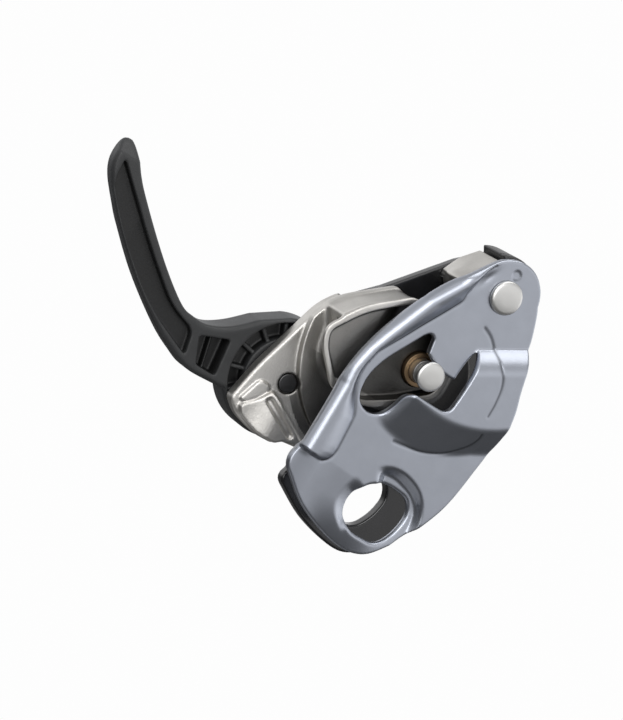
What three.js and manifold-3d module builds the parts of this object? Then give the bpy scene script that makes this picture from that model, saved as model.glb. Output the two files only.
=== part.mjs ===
// Assisted-braking belay device, open and at rest, in millimetres.
// Frame: the origin is the centre of the attachment hole, midway between the plates.
// +Z runs from the attachment hole to the swing pivot, -Y is the front (swinging) side plate,
// and the lever arm is on the -X side. All three joint axes are parallel to Y.
import * as THREE from 'three';
import { mergeVertices } from 'three/addons/utils/BufferGeometryUtils.js';
import Module from 'manifold-3d';

const wasm = await Module();
wasm.setup();

// ---- driving dimensions -------------------------------------------------------------------
const GAP = 0.3;                         // clearance between neighbouring pieces
const RUNNING_FIT = 0.08;                // radial clearance of a pin in the bore that turns on it
const PIN_RADIUS = 3.1;                  // swing pivot and cam axle
const PIVOT = [0, 60.8];                 // swing pivot of the moving plate (x, z)
const AXLE = [-7.15, 35.4];              // axle of the rope cam
const LEVER_PIN = [-31.6, 16.7];         // hinge pin of the lever on the cam's arm
const PLATE_FRONT = -10;                 // outer face of the moving plate's flat parts
const PLATE_THICK = 2;
const BULGE_RAISE = 3.7;                 // raised band that clears the axle's head
const LIP_RAISE = 3;                     // half-round lip along the rope's exit edge
const DISH_DEPTH = 2.2;                  // dish pressed inwards round the attachment hole
const FOOT_BEND = [-11, 4];              // the plate's foot bends inwards to that depth between these z
const CORE_FRONT = -7.7;                 // front of everything between the plates
const CORE_BACK = 4.3;                   // back of everything between the plates
const FIXED_FRONT = 4.6;
const FIXED_BACK = 7.6;
const END_RADIUS = 9.2;                  // plates' rounded end about the swing pivot
const FLANGE_THICK = 1.2;                // cam's front rope flange
const HUB_CLEAR_RADIUS = 24.3;           // the arm stays outside this radius about the axle
const PLATE_CLEAR_RADIUS = 23.5;         // the fixed plate stays inside it, clear of the arm
const ARM_BACK = 7.8;
const LEVER_FRONT = 8.2;
const LEVER_BACK = 17;
const LEVER_HUB_RADIUS = 15;
const WIRE = 0.6;                        // radius of the spring wire

// ---- materials ----------------------------------------------------------------------------
const finish = (color, roughness, metalness) =>
  new THREE.MeshStandardMaterial({ color, roughness, metalness });
const anodised = finish(0x8f95a3, 0.36, 0.9);
const blackPlate = finish(0x17181a, 0.3, 0.2);
const castSteel = finish(0xa8a49d, 0.45, 0.9);
const pinSteel = finish(0xc9c9c4, 0.35, 0.9);
const nylon = finish(0x2b2c2d, 0.5, 0);
const springSteel = finish(0x8c8f92, 0.3, 1);
const bronze = finish(0xa9793f, 0.4, 0.9);

const device = new THREE.Group();

function piece(name, geometry, material) {
  const mesh = new THREE.Mesh(geometry, material);
  mesh.name = name;
  device.add(mesh);
}

// ---- shapes -------------------------------------------------------------------------------
// Closed outline of [x, z, corner radius] points with round corners.
function rounded(points) {
  const shape = new THREE.Shape();
  const corners = points.map(([x, z]) => new THREE.Vector2(x, z));
  const count = corners.length;
  corners.forEach((corner, i) => {
    const toBefore = corners[(i + count - 1) % count].clone().sub(corner);
    const toAfter = corners[(i + 1) % count].clone().sub(corner);
    const reach = Math.min(points[i][2] ?? 0, 0.49 * toBefore.length(), 0.49 * toAfter.length());
    const start = corner.clone().add(toBefore.setLength(reach));
    const end = corner.clone().add(toAfter.setLength(reach));
    if (i === 0) shape.moveTo(start.x, start.y);
    else shape.lineTo(start.x, start.y);
    if (reach > 0) shape.quadraticCurveTo(corner.x, corner.y, end.x, end.y);
  });
  shape.closePath();
  return shape;
}

const vectors = (points) => points.map(([x, z]) => new THREE.Vector2(x, z));

// A path's points without the ones that fall on their neighbour.
function distinct(path, curveSegments) {
  const points = path.getPoints(curveSegments);
  return points.filter((point, i) => point.distanceTo(points[(i + 1) % points.length]) > 0.01);
}

// Slab with the given outline in the XZ plane, from y = front to y = back.
function slab(shape, front, back, curveSegments = 5) {
  const points = distinct(shape, curveSegments);
  const outline = new THREE.Shape(THREE.ShapeUtils.isClockWise(points) ? points.reverse() : points);
  outline.holes = shape.holes.map((hole) => new THREE.Path(distinct(hole, curveSegments)));
  const geometry = new THREE.ExtrudeGeometry(outline, { depth: back - front, bevelEnabled: false });
  return geometry.rotateX(Math.PI / 2).translate(0, back, 0);
}

function disc([x, z], radius, front, back, segments = 32) {
  const geometry = new THREE.CylinderGeometry(radius, radius, back - front, segments);
  return geometry.translate(x, (front + back) / 2, z);
}

// Turned piece: [radius, y] profile about an axis parallel to Y.
function turned([x, z], profile, segments = 32) {
  const points = profile.map(([radius, y]) => new THREE.Vector2(radius, y));
  return new THREE.LatheGeometry(points, segments).translate(x, 0, z);
}

const ring = (centre, inner, outer, front, back, segments) => turned(centre,
  [[inner, front], [outer, front], [outer, back], [inner, back], [inner, front]], segments);

// ---- booleans -----------------------------------------------------------------------------
function solid(geometry) {
  const bare = geometry.clone();
  bare.deleteAttribute('normal');
  bare.deleteAttribute('uv');
  const merged = mergeVertices(bare, 1e-4);
  const mesh = new wasm.Mesh({
    numProp: 3,
    vertProperties: new Float32Array(merged.attributes.position.array),
    triVerts: new Uint32Array(merged.index.array),
  });
  return new wasm.Manifold(mesh);
}

function geometryOf(manifold) {
  const mesh = manifold.getMesh();
  const geometry = new THREE.BufferGeometry();
  geometry.setAttribute('position', new THREE.BufferAttribute(mesh.vertProperties, 3));
  geometry.setIndex(new THREE.BufferAttribute(mesh.triVerts, 1));
  geometry.computeVertexNormals();
  return geometry;
}

const join = (...geometries) => geometries.map(solid).reduce((a, b) => a.add(b));
const cut = (manifold, ...geometries) => geometries.map(solid).reduce((a, b) => a.subtract(b), manifold);

// ---- moving side plate --------------------------------------------------------------------
const ease = (from, to, value) => THREE.MathUtils.smoothstep(value, from, to);
const RIGHT_EDGE = [[10.6, 60.5], [12.6, 55.2], [13.7, 50.4], [15.2, 44], [17.2, 37], [18.3, 28],
  [17.4, 20], [15.8, 10.8], [13.2, 4], [8.2, -5.3]];
const LEFT_EDGE = [[-28.4, 5.6], [-28.2, 20], [-28.2, 29], [-25.6, 38.6], [-19.7, 51.2], [-13.4, 60.3],
  [-6.4, 67.4]];
const HOLE = [[-9.4, 0.9, 4], [-6.6, 6.4, 3.5], [-0.5, 7.9, 4], [6.2, 6.7, 3], [8.5, 3.4, 3],
  [7.8, -1.5, 4], [4.6, -6.9, 4], [-4, -6.7, 4], [-8, -3.4, 3]];
const BULGE = { topZ: 46.4, topSlope: 0.49, rampTop: 4.4, inner: 32.5, outer: 43, narrowing: 0.25,
  leftX: -15 };
const SLIT = [-0.5, 0.9];                // the bulge's left wall stands between these x, beside the window

function movingOutline() {
  const shape = new THREE.Shape();
  shape.moveTo(...LEFT_EDGE.at(-1));
  shape.absarc(...PIVOT, END_RADIUS, Math.PI * 0.72, Math.PI * 0.07, true);
  shape.splineThru(vectors(RIGHT_EDGE));
  shape.splineThru(vectors([[3.5, -9.8], [-2, -11.3], [-9.4, -10], [-19.4, -6.1], [-27.5, -0.2]]));
  shape.quadraticCurveTo(-29.6, 2, -28.4, 5.6);
  shape.splineThru(vectors(LEFT_EDGE.slice(1, -1)));
  return shape;
}

// Window round the tongue that the axle's head holds down.
function windowOutline() {
  const shape = new THREE.Path();
  shape.moveTo(-15.6, 20.7);
  shape.quadraticCurveTo(-21.5, 21.4, -21.5, 27.2);
  shape.quadraticCurveTo(-21.4, 31, -18.6, 35.6);
  shape.lineTo(-14.6, 42);
  shape.quadraticCurveTo(-12.6, 45.6, -11, 43.6);
  shape.lineTo(-10.3, 39.9);
  shape.quadraticCurveTo(-4.5, 36.9, -0.5, 37.6);
  shape.quadraticCurveTo(-0.4, 43, 0.9, 46.4);
  shape.quadraticCurveTo(2, 41, 0.9, 31.6);
  shape.quadraticCurveTo(0.4, 29.6, -2, 29.7);
  shape.lineTo(-9, 30);
  shape.quadraticCurveTo(-11.4, 29.8, -11.6, 27.2);
  shape.quadraticCurveTo(-12, 22.4, -15.6, 20.7);
  return shape;
}

// How far the plate's outer face stands in front of PLATE_FRONT at a place (x, z).
function plateRaise(x, z) {
  const fromPivot = Math.hypot(x - PIVOT[0], z - PIVOT[1]);
  const top = ease(0, BULGE.rampTop, BULGE.topZ + BULGE.topSlope * x - z);
  const outer = BULGE.outer - BULGE.narrowing * Math.max(0, x);
  const bottom = 1 - ease(BULGE.inner, outer, fromPivot);
  const side = z > 34 ? ease(...SLIT, x) : ease(BULGE.leftX, BULGE.leftX + 6, x);
  const bulge = BULGE_RAISE * top * bottom * side;
  const lip = lipRaise(x, z);
  const fromHole = Math.hypot(x + 0.6, z - 0.3);
  const dish = 1 - Math.min(ease(8.8, 11.4, fromHole), ease(...FOOT_BEND, z));
  return bulge + lip - DISH_DEPTH * dish;
}

// Half-round lip: rises from its inner line, then curls back towards the plate's edge.
function lipRaise(x, z) {
  const inward = x - lipEdge(z);
  const foot = 9 - 4 * ease(18, 24, z) - 1.6 * ease(50, 58, z);
  const ends = ease(5, 8.5, z) * (1 - ease(56, 61, z));
  const profile = inward < 2 ? ease(-1.4, 2, inward) : 1 - ease(2, foot, inward);
  return LIP_RAISE * profile * ends;
}

function lipEdge(z) {
  const above = LEFT_EDGE.findIndex((point) => point[1] > z);
  if (above < 1) return LEFT_EDGE.at(above)[0];
  const [[x0, z0], [x1, z1]] = LEFT_EDGE.slice(above - 1, above + 1);
  return THREE.MathUtils.mapLinear(z, z0, z1, x0, x1);
}

// Pressed sheet: a grid whose two faces follow the raise, trimmed by an outline. The columns nearest
// to the given walls are moved onto them.
function pressedSheet(shape, raise, front, thickness, cell, walls) {
  const box = new THREE.Box2().setFromPoints(shape.getPoints(8)).expandByScalar(cell);
  const columns = Math.ceil((box.max.x - box.min.x) / cell);
  const rows = Math.ceil((box.max.y - box.min.y) / cell);
  const columnX = Array.from({ length: columns + 1 }, (_, column) => box.min.x + column * cell);
  walls.forEach((wall) => { columnX[Math.round((wall - box.min.x) / cell)] = wall; });
  const positions = [];
  const triangles = [];
  for (let side = 0; side < 2; side += 1) {
    for (let row = 0; row <= rows; row += 1) {
      for (let column = 0; column <= columns; column += 1) {
        const x = columnX[column];
        const z = box.min.y + row * cell;
        positions.push(x, front - raise(x, z) + side * thickness, z);
      }
    }
  }
  const layer = (rows + 1) * (columns + 1);
  const at = (row, column, side) => side * layer + row * (columns + 1) + column;
  const quad = (a, b, c, d) => triangles.push(a, b, c, a, c, d);
  for (let row = 0; row < rows; row += 1) {
    for (let column = 0; column < columns; column += 1) {
      quad(at(row, column, 0), at(row, column + 1, 0), at(row + 1, column + 1, 0), at(row + 1, column, 0));
      quad(at(row, column, 1), at(row + 1, column, 1), at(row + 1, column + 1, 1), at(row, column + 1, 1));
    }
  }
  for (let row = 0; row < rows; row += 1) {
    quad(at(row, 0, 0), at(row + 1, 0, 0), at(row + 1, 0, 1), at(row, 0, 1));
    quad(at(row, columns, 0), at(row, columns, 1), at(row + 1, columns, 1), at(row + 1, columns, 0));
  }
  for (let column = 0; column < columns; column += 1) {
    quad(at(0, column, 0), at(0, column, 1), at(0, column + 1, 1), at(0, column + 1, 0));
    quad(at(rows, column, 0), at(rows, column + 1, 0), at(rows, column + 1, 1), at(rows, column, 1));
  }
  const geometry = new THREE.BufferGeometry();
  geometry.setAttribute('position', new THREE.Float32BufferAttribute(positions, 3));
  geometry.setIndex(triangles);
  return solid(geometry).intersect(solid(slab(shape, front - 6, front + 6)));
}

const movingShape = movingOutline();
movingShape.holes.push(rounded(HOLE), windowOutline());
const movingPlate = cut(
  pressedSheet(movingShape, plateRaise, PLATE_FRONT, PLATE_THICK, 2, SLIT),
  disc(PIVOT, PIN_RADIUS + RUNNING_FIT, -12, -6),
  disc([-0.6, 66.7], 1.3, -12, PLATE_FRONT + 0.8, 16),
);
piece('moving_plate', geometryOf(movingPlate), anodised);

// ---- fixed side plate ---------------------------------------------------------------------
const polar = ([x, z], radius, degrees) => [
  x + radius * Math.cos(THREE.MathUtils.degToRad(degrees)),
  z + radius * Math.sin(THREE.MathUtils.degToRad(degrees)),
];
const STOP_ANGLE = 247.8;                // direction of the edge that stops the opening cam

function fixedOutline() {
  const shape = new THREE.Shape();
  const clearEnd = THREE.MathUtils.degToRad(STOP_ANGLE);
  shape.moveTo(-22, 48.3);
  shape.lineTo(-7.2, 64);
  shape.lineTo(-4.6, 66.6);
  shape.absarc(...PIVOT, END_RADIUS - 0.9, Math.PI * 0.7, Math.PI * 0.07, true);
  shape.splineThru(vectors(RIGHT_EDGE.slice(0, -2).map(([x, z]) => [x - 0.4, z])));
  shape.splineThru(vectors([[16, 2], [14, -6], [9.4, -11.4], [3, -13.6], [-8.5, -11], [-18.2, -5.9]]));
  shape.quadraticCurveTo(-20.8, -4.4, -19.4, -1.8);
  shape.lineTo(...polar(AXLE, 30, STOP_ANGLE));
  shape.lineTo(...polar(AXLE, PLATE_CLEAR_RADIUS, STOP_ANGLE));
  shape.absarc(...AXLE, PLATE_CLEAR_RADIUS, clearEnd, Math.PI * 0.92, true);
  shape.closePath();
  return shape;
}

const fixedShape = fixedOutline();
fixedShape.holes.push(rounded(HOLE));
const SHOE_RIVETS = [[-6.6, 61.6], [-9.6, 58.6]];
const CAP_RIVET = polar(PIVOT, 6.9, 35);
const RIVET = { shaft: 1, head: 1.4 };
const sunk = (centre, shaft, head) => turned(centre, [[0, FIXED_FRONT - 1], [shaft, FIXED_FRONT - 1],
  [shaft, FIXED_BACK - 1.5], [head, FIXED_BACK], [head, FIXED_BACK + 1], [0, FIXED_BACK + 1]]);
const fixedPlate = cut(
  solid(slab(fixedShape, FIXED_FRONT, FIXED_BACK)),
  sunk(PIVOT, 3.3, 4.8), sunk(AXLE, 3.3, 4.8),
  ...[CAP_RIVET, ...SHOE_RIVETS].map((at) => sunk(at, RIVET.shaft + 0.15, RIVET.head + 0.2)),
);
piece('fixed_plate', geometryOf(fixedPlate), blackPlate);

// ---- friction shoe and end spacer ---------------------------------------------------------
const BUSH_RADIUS = 4.9;
const CAP_RADIUS = 9.9;                  // stands proud of the moving plate's end
const shoeShape = rounded([[-12.6, 59.9, 1.6], [-4.6, 67.9, 0.4], [-3.3, 66.2, 0.4],
  [-5.4, 60.8, 1], [-4.6, 56, 0.6], [-9, 55.8, 2], [-13.4, 58.6, 0.6]]);
const shoe = cut(solid(slab(shoeShape, CORE_FRONT, CORE_BACK)),
  ...SHOE_RIVETS.map((at) => disc(at, RIVET.shaft + 0.15, CORE_FRONT - 1, CORE_BACK + 1, 20)));
piece('friction_shoe', geometryOf(shoe), castSteel);

function spacerOutline() {
  const shape = new THREE.Shape();
  shape.moveTo(...polar(PIVOT, CAP_RADIUS, 118));
  shape.absarc(...PIVOT, CAP_RADIUS, Math.PI * 118 / 180, -Math.PI / 4, true);
  shape.absarc(...PIVOT, BUSH_RADIUS + GAP, -Math.PI / 4, Math.PI * 115 / 180, false);
  shape.closePath();
  return shape;
}
const spacer = cut(solid(slab(spacerOutline(), CORE_FRONT, CORE_BACK, 10)),
  disc(CAP_RIVET, RIVET.shaft + 0.15, CORE_FRONT - 1, CORE_BACK + 1, 20));
piece('end_spacer', geometryOf(spacer), nylon);

function sunkRivet(name, centre) {
  const front = CORE_FRONT + 0.1;
  piece(name, turned(centre, [[0, front], [RIVET.shaft, front], [RIVET.shaft, FIXED_BACK - 1.4],
    [RIVET.head, FIXED_BACK - 0.1], [0, FIXED_BACK - 0.1]], 20), pinSteel);
}
sunkRivet('shoe_rivet_upper', SHOE_RIVETS[0]);
sunkRivet('shoe_rivet_lower', SHOE_RIVETS[1]);
sunkRivet('spacer_rivet', CAP_RIVET);

// ---- swing pivot --------------------------------------------------------------------------
piece('pivot_pin', turned(PIVOT, [[0, -11.5], [3.5, -11.5], [4.25, -11], [4.25, -10.2],
  [PIN_RADIUS, -10.2], [PIN_RADIUS, FIXED_BACK - 1.3], [4.3, FIXED_BACK], [0, FIXED_BACK]]), pinSteel);
piece('pivot_bush', ring(PIVOT, PIN_RADIUS + 0.1, BUSH_RADIUS, -6.9, CORE_BACK), bronze);
piece('pivot_washer', ring(PIVOT, PIN_RADIUS + 0.1, 4.7, -7.75, -7.15), springSteel);

// ---- cam axle -----------------------------------------------------------------------------
const HEAD_RADIUS = 3.7;
piece('cam_axle', turned(AXLE, [[0, -11.4], [3.2, -11.4], [HEAD_RADIUS, -11], [HEAD_RADIUS, -10.3],
  [2.1, -10.3], [2.1, -7.6], [PIN_RADIUS, -7.6], [PIN_RADIUS, FIXED_BACK - 1.3], [4.3, FIXED_BACK],
  [0, FIXED_BACK]]), pinSteel);
const CAM_BUSH_RADIUS = 4.3;
piece('cam_bush', ring(AXLE, PIN_RADIUS + RUNNING_FIT, CAM_BUSH_RADIUS, -5, CORE_BACK - 0.1), bronze);

// ---- rope cam with its arm ----------------------------------------------------------------
const FLANGE_BACK = CORE_FRONT + FLANGE_THICK;
const flangeShape = rounded([[-36.8, 33.6, 2.4], [-30.4, 42.3, 4], [-19.6, 50.2, 2.4],
  [-9, 46.5, 4], [-1.2, 40, 3], [-0.6, 31.6, 3], [-9, 25.6, 4], [-19, 20.4, 4], [-27.6, 21.6, 1.5],
  [-35, 29, 2.4]]);
const coreShape = rounded([[-33.8, 38, 0.6], [-30.2, 42.2, 3], [-19.4, 49.8, 2], [-12, 47.8, 3],
  [0.6, 45.4, 5], [5.8, 38, 4], [4.8, 29, 5], [-5, 23.2, 5], [-22, 21.2, 4], [-29.6, 26.6, 4],
  [-31.4, 34, 1]]);
const ARM_STOP_ANGLE = STOP_ANGLE - 1.2;
const armShape = rounded([[-43.2, 7.2, 1.2], [-41.2, 16.9, 0], [-38.3, 25.4, 0], [-34.6, 36.9, 3],
  [-30.6, 42, 3], [-19.6, 50, 1], [-12, 40, 1],
  polar(AXLE, 20, ARM_STOP_ANGLE), polar(AXLE, 34.2, ARM_STOP_ANGLE),
  [-26, 3.6, 0.6], [-27.4, 2.2, 0.6], [-33.2, 2.2, 4], [-39.8, 4.2, 3]]);
const guideShape = rounded([[-40.4, 7, 0.8], [-36.7, 10.4, 2], [-34.9, 13.3, 0.9], [-32.6, 12.6, 0.9],
  [-21.5, 5.9, 0.3], [-21.3, 4.4, 0.3], [-26, 4, 0.6], [-28, 2.6, 0.6], [-33.2, 2.6, 4], [-39, 4.8, 1]]);
const armWeb = solid(slab(armShape, CORE_BACK - 0.2, ARM_BACK))
  .subtract(solid(disc(AXLE, HUB_CLEAR_RADIUS, 0, 12, 48)));
const armRoot = solid(slab(armShape, 2.6, CORE_BACK))
  .intersect(solid(disc(AXLE, HUB_CLEAR_RADIUS + 4.2, 0, 12, 48)));
const PIN_HEAD_RADIUS = 2.4;
const LEVER_PIN_RADIUS = 2;
const SPRING_SEAT = [-2.2, CAM_BUSH_RADIUS + 1, 8.6];   // front of the seat, inner and outer radius
const cam = cut(
  join(slab(coreShape, FLANGE_BACK - 0.1, CORE_BACK), slab(flangeShape, CORE_FRONT, FLANGE_BACK),
    slab(guideShape, 1.5, CORE_BACK)).add(armWeb).add(armRoot),
  disc(AXLE, CAM_BUSH_RADIUS + 0.1, -10, 10),
  ring(AXLE, SPRING_SEAT[1], SPRING_SEAT[2], SPRING_SEAT[0], CORE_BACK + 1),
  disc(LEVER_PIN, LEVER_PIN_RADIUS + 0.05, 0, 10, 24),
  disc(LEVER_PIN, PIN_HEAD_RADIUS + 0.25, 0, CORE_BACK + 1.2, 24),
);
piece('cam', geometryOf(cam), castSteel);

// ---- springs ------------------------------------------------------------------------------
class Helix extends THREE.Curve {
  constructor([x, z], radius, start, pitch, turns) {
    super();
    Object.assign(this, { x, z, radius, start, pitch, turns });
  }

  getPoint(t, target = new THREE.Vector3()) {
    const angle = t * this.turns * 2 * Math.PI;
    return target.set(this.x + this.radius * Math.cos(angle), this.start + this.pitch * this.turns * t,
      this.z + this.radius * Math.sin(angle));
  }
}

function spring(centre, radius, start, turns, wire = WIRE) {
  const section = new THREE.Shape().absarc(0, 0, wire, 0, 2 * Math.PI, false);
  return new THREE.ExtrudeGeometry(new THREE.Shape(distinct(section, 3)), {
    steps: turns * 16, extrudePath: new Helix(centre, radius, start, wire * 2.5, turns),
    bevelEnabled: false,
  });
}
piece('cam_spring', spring(AXLE, 7, SPRING_SEAT[0] + 1, 3), springSteel);

// ---- lever --------------------------------------------------------------------------------
const SEAT_RADIUS = 8.4;                 // spring seat moulded in the lever's hub
const POST_RADIUS = 5.6;
const LEVER_BORE = 3.35;
const HANDLE_BACK = 13.4;                // the handle is thinner than the hub
const HANDLE_TAPER = [-60, -50];         // where its back slopes to the hub's

function leverOutline() {
  const shape = new THREE.Shape();
  const inner = THREE.MathUtils.degToRad(112);
  const outer = THREE.MathUtils.degToRad(216);
  shape.moveTo(...polar(LEVER_PIN, LEVER_HUB_RADIUS, 216));
  shape.splineThru(vectors([[-54, 7.8], [-60.6, 9.9], [-67.7, 13.7], [-78.5, 21.4], [-87.8, 29.7],
    [-91.9, 34], [-95.7, 38.5], [-97.4, 42], [-97.6, 45.4], [-96.9, 47.8], [-95.2, 48.6], [-93.2, 47.4],
    [-87.5, 40.2], [-74.7, 28.6], [-64.6, 21.1], [-59.8, 19.6], [-55.4, 19.6], [-50.1, 21.8],
    [-44.3, 26.5]]));
  shape.lineTo(...polar(LEVER_PIN, LEVER_HUB_RADIUS, 112));
  shape.absarc(...LEVER_PIN, LEVER_HUB_RADIUS, inner, outer - 2 * Math.PI, true);
  return shape;
}
const gripPocket = rounded([[-95.2, 44, 1], [-95, 38.2, 3], [-86, 28.4, 20], [-72, 17, 20],
  [-57.2, 10.6, 1], [-58.6, 16.7, 2], [-66.4, 19.4, 8], [-79, 29.2, 20]]);
const webPocket = rounded([[-56.4, 16.4, 0.6], [-48.7, 19, 0.6], [-47.6, 9.6, 0.6], [-53.4, 9.9, 0.6]]);
const behindHandle = new THREE.ExtrudeGeometry(rounded([[HANDLE_TAPER[1], LEVER_BACK + 1],
  [HANDLE_TAPER[1], LEVER_BACK], [HANDLE_TAPER[0], HANDLE_BACK], [-100, HANDLE_BACK],
  [-100, LEVER_BACK + 1]]), { depth: 60, bevelEnabled: false });
const lever = cut(
  solid(slab(leverOutline(), LEVER_FRONT, LEVER_BACK, 5)),
  slab(gripPocket, LEVER_FRONT - 1, LEVER_FRONT + 2.2, 4),
  slab(webPocket, LEVER_FRONT - 1, LEVER_FRONT + 4.6, 2),
  behindHandle,
  disc(LEVER_PIN, LEVER_BORE, 0, 20),
  ring(LEVER_PIN, POST_RADIUS, SEAT_RADIUS, LEVER_FRONT - 1, LEVER_FRONT + 5.6),
  disc(LEVER_PIN, 5.4, LEVER_BACK - 1.6, LEVER_BACK + 1),
);
piece('lever', geometryOf(lever), nylon);
piece('lever_spring', spring(LEVER_PIN, (POST_RADIUS + SEAT_RADIUS) / 2, LEVER_FRONT + 0.9, 2.5),
  springSteel);
piece('lever_bush', ring(LEVER_PIN, LEVER_PIN_RADIUS + RUNNING_FIT, LEVER_BORE - 0.1, ARM_BACK + 0.2,
  LEVER_BACK - 1.7, 24), bronze);
piece('lever_pin', turned(LEVER_PIN, [[0, CORE_BACK], [PIN_HEAD_RADIUS, CORE_BACK],
  [PIN_HEAD_RADIUS, CORE_BACK + 1], [LEVER_PIN_RADIUS, CORE_BACK + 1],
  [LEVER_PIN_RADIUS, LEVER_BACK - 0.2], [0, LEVER_BACK - 0.2]],
24), pinSteel);
piece('lever_washer', ring(LEVER_PIN, 2.1, 5.1, LEVER_BACK - 1.4, LEVER_BACK - 0.6, 24), pinSteel);

export default device;
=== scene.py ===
"""Looks of an assisted-braking belay device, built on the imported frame.

Cast, pressed and moulded pieces are signed-distance solids on a grid, in millimetres, meshed here and
scaled to metres. Turned pieces are revolved profiles. X runs right and Z up, seen from the front; the
front faces -Y, and the origin is the centre of the attachment hole.
"""
import math

import bmesh
import bpy
import numpy as np
from mathutils import Matrix, Vector


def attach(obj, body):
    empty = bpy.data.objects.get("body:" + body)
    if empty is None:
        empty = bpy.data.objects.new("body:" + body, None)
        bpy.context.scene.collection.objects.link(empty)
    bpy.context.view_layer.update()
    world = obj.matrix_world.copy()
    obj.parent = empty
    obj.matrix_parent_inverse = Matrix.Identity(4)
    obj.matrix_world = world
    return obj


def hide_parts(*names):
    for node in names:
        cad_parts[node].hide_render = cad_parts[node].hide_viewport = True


MM = 0.001
FAR = 1e9
TINY = 1e-9

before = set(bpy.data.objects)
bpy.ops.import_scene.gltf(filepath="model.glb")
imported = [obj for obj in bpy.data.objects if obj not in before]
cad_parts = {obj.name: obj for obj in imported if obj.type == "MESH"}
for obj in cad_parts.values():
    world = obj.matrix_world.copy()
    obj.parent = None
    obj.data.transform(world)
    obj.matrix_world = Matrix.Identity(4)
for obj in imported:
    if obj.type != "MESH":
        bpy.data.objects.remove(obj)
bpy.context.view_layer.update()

# ---- camera ---------------------------------------------------------------------------------
RIGHT = Vector((0.77287763, -0.38456859, 0.50474465))
UP = Vector((-0.42908592, 0.26927783, 0.86219181))
BACK = Vector((-0.46748843, -0.88294759, 0.04310584))
CAMERA_AT = (-0.35144, -0.60408, 0.05410)
SENSOR_WIDTH, LENS = 36, 143.5

camera_data = bpy.data.cameras.new("camera")
camera_data.sensor_width = SENSOR_WIDTH
camera_data.lens = LENS
camera_data.clip_start = 0.01
camera = bpy.data.objects.new("camera", camera_data)
camera.matrix_world = Matrix.Translation(CAMERA_AT) @ Matrix((RIGHT, UP, BACK)).transposed().to_4x4()
bpy.context.scene.collection.objects.link(camera)
bpy.context.scene.camera = camera

# ---- measures shared with the CAD, in millimetres -------------------------------------------
PIVOT = (0.0, 60.8)
AXLE = (-7.15, 35.4)
LEVER_PIN = (-31.6, 16.7)
PLATE_FRONT, PLATE_THICK = -10.0, 2.0
CORE_FRONT, CORE_BACK = -7.7, 4.3
FIXED_FRONT, FIXED_BACK = 4.6, 7.6
ARM_BACK = 7.8
LEVER_FRONT, LEVER_BACK = 8.2, 17.0
HANDLE_THINNER = 3.6
END_RADIUS = 9.2
CAP_RADIUS = 9.9
PIN_RADIUS = 3.1
LEVER_PIN_RADIUS = 2.0
PIN_HEAD_RADIUS = 4.3
LEVER_HUB_RADIUS = 15.0
# The plates' long edges, and the attachment hole as (x, z, corner radius).
RIGHT_EDGE = [(10.6, 60.5), (12.6, 55.2), (13.5, 51), (14.3, 47), (15.5, 42.5), (17.2, 37), (18.3, 28),
              (17.4, 20), (15.8, 10.8), (13.2, 4), (8.2, -5.3)]
LEFT_EDGE = [(-28.4, 5.6), (-28.2, 20), (-28.2, 29), (-25.6, 38.6), (-19.7, 51.2), (-13.4, 60.3),
             (-6.4, 67.4)]
HOLE = [(-8.9, 0.9, 4), (-6.3, 6.1, 3.5), (-0.5, 7.6, 4), (6.2, 6.7, 3), (8.5, 3.4, 3), (7.8, -1.5, 4),
        (4.6, -6.9, 4), (-4, -6.7, 4), (-8, -3.4, 3)]


# ---- outlines in the XZ plane ---------------------------------------------------------------
def arc(centre, radius, start, end, count=24):
    """Points on a circle, with start and end in degrees, anticlockwise from +X towards +Z."""
    angles = np.radians(np.linspace(start, end, count))
    return [(centre[0] + radius * math.cos(a), centre[1] + radius * math.sin(a)) for a in angles]


def polar(centre, radius, degrees):
    """The point at that radius and angle from a centre."""
    return arc(centre, radius, degrees, degrees, 1)[0]


def quadratic(a, b, c, count=8):
    """A curve from a to c that leaves and arrives in the direction of b."""
    t = np.linspace(0, 1, count)[:, None]
    a, b, c = map(np.array, (a, b, c))
    return [tuple(p) for p in (1 - t) ** 2 * a + 2 * t * (1 - t) * b + t * t * c]


def spline(points, count=8):
    """A smooth line through the points."""
    p = np.array(points, float)
    p = np.vstack([p[0], p, p[-1]])
    line = []
    for a, b, c, d in zip(p, p[1:], p[2:], p[3:]):
        for t in np.linspace(0, 1, count, endpoint=False):
            line.append(tuple(0.5 * (2 * b + (c - a) * t + (2 * a - 5 * b + 4 * c - d) * t * t
                                     + (3 * b - a - 3 * c + d) * t ** 3)))
    return line + [tuple(p[-1])]


def rounded(points, count=8):
    """A closed outline of (x, z, corner radius) points. A radius of 0 leaves that corner sharp."""
    longest_reach = 0.49
    line = []
    corners = [np.array(q[:2], float) for q in points]
    for i, (corner, (*_, radius)) in enumerate(zip(corners, points)):
        if radius == 0:
            line.append(tuple(corner))
            continue
        before, after = corners[i - 1] - corner, corners[(i + 1) % len(corners)] - corner
        lengths = np.linalg.norm(before), np.linalg.norm(after)
        reach = min(radius, longest_reach * min(lengths))
        line += quadratic(corner + before / lengths[0] * reach, corner,
                          corner + after / lengths[1] * reach, count)
    return line


def line_distance(x, z, points):
    """Distance in the XZ plane to an open line."""
    nearest = np.full(np.broadcast_shapes(np.shape(x), np.shape(z)), FAR)
    for (ax, az), (bx, bz) in zip(points, points[1:]):
        ex, ez = bx - ax, bz - az
        t = np.clip(((x - ax) * ex + (z - az) * ez) / (ex * ex + ez * ez + 1e-12), 0, 1)
        nearest = np.minimum(nearest, np.hypot(x - ax - t * ex, z - az - t * ez))
    return nearest


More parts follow.
